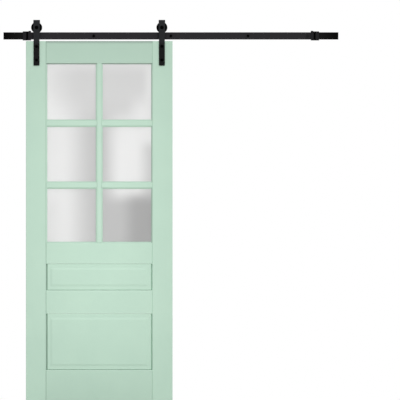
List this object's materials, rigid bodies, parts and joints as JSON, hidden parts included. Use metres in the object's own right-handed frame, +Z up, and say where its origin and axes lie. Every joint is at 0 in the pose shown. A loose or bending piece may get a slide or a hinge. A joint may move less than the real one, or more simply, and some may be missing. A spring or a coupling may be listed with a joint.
{
  "type": "sliding barn door",
  "caption": "Sliding barn door: a painted frame-and-panel leaf with frosted lites over fielded panels, hung by strap hangers with grooved wheels on a flat wall rail.",
  "frame": {"origin": "on the wall plane, on the axis of the middle wall bolt", "axes": "+X along the rail to the right, +Y from the front of the door into the wall, +Z up"},
  "size_m": [1.858, 0.1227, 2.1617],
  "materials": {
    "painted_wood": "satin mint lacquer over sanded wood",
    "frosted_glass": "satin etched on the front",
    "black_steel": "fine textured black powder coat",
    "black_oxide": "black oxide, lightly oiled",
    "black_rubber": "moulded, matt",
    "black_nylon": "turned, satin",
    "bearing_steel": "ground"
  },
  "bodies": {
    "track": {"rail": "black_steel", "wall_spacers": "black_steel", "wall_bolts": "black_oxide", "floor_guide": "black_nylon", "left_stop_clamp": "black_steel", "right_stop_clamp": "black_steel", "left_stop_buffer": "black_rubber", "right_stop_buffer": "black_rubber", "left_stop_striker": "black_steel", "right_stop_striker": "black_steel", "left_stop_screws": "black_oxide", "right_stop_screws": "black_oxide"},
    "leaf": {"left_stile": "painted_wood", "right_stile": "painted_wood", "top_rail": "painted_wood", "lock_rail": "painted_wood", "cross_rail": "painted_wood", "bottom_rail": "painted_wood", "upper_panel": "painted_wood", "lower_panel": "painted_wood", "upright_bar": "painted_wood", "upper_cross_bar": "painted_wood", "lower_cross_bar": "painted_wood", "upper_left_pane": "frosted_glass", "upper_right_pane": "frosted_glass", "middle_left_pane": "frosted_glass", "middle_right_pane": "frosted_glass", "lower_left_pane": "frosted_glass", "lower_right_pane": "frosted_glass", "upper_left_front_bead": "painted_wood", "upper_right_front_bead": "painted_wood", "middle_left_front_bead": "painted_wood", "middle_right_front_bead": "painted_wood", "lower_left_front_bead": "painted_wood", "lower_right_front_bead": "painted_wood", "upper_left_back_bead": "painted_wood", "upper_right_back_bead": "painted_wood", "middle_left_back_bead": "painted_wood", "middle_right_back_bead": "painted_wood", "lower_left_back_bead": "painted_wood", "lower_right_back_bead": "painted_wood", "left_hanger": "black_steel", "right_hanger": "black_steel", "left_axle_bolt": "black_oxide", "right_axle_bolt": "black_oxide", "left_axle_nut": "black_oxide", "right_axle_nut": "black_oxide", "left_axle_bushes": "bearing_steel", "right_axle_bushes": "bearing_steel", "left_strap_bolts": "black_oxide", "right_strap_bolts": "black_oxide", "left_barrel_nuts": "black_oxide", "right_barrel_nuts": "black_oxide"},
    "left_wheel": {"left_wheel": "black_nylon", "left_bearing": "bearing_steel"},
    "right_wheel": {"right_wheel": "black_nylon", "right_bearing": "bearing_steel"}
  },
  "joints": [
    {"name": "leaf_slide", "type": "slide", "parent": "track", "child": "leaf", "axis": [1, 0, 0], "range_m": [-0.0065, 0.8015]},
    {"name": "left_wheel_roll", "type": "hinge", "parent": "leaf", "child": "left_wheel", "pos_m": [-0.745, -0.041, 0.0463], "axis": [0, 1, 0], "range_deg": [-20, 1780]},
    {"name": "right_wheel_roll", "type": "hinge", "parent": "leaf", "child": "right_wheel", "pos_m": [-0.05, -0.041, 0.0463], "axis": [0, 1, 0], "range_deg": [-20, 1780]}
  ],
  "couplings": [
    {"joint": "left_wheel_roll", "follows": "leaf_slide", "rad_per_m": 38.462},
    {"joint": "right_wheel_roll", "follows": "leaf_slide", "rad_per_m": 38.462}
  ]
}
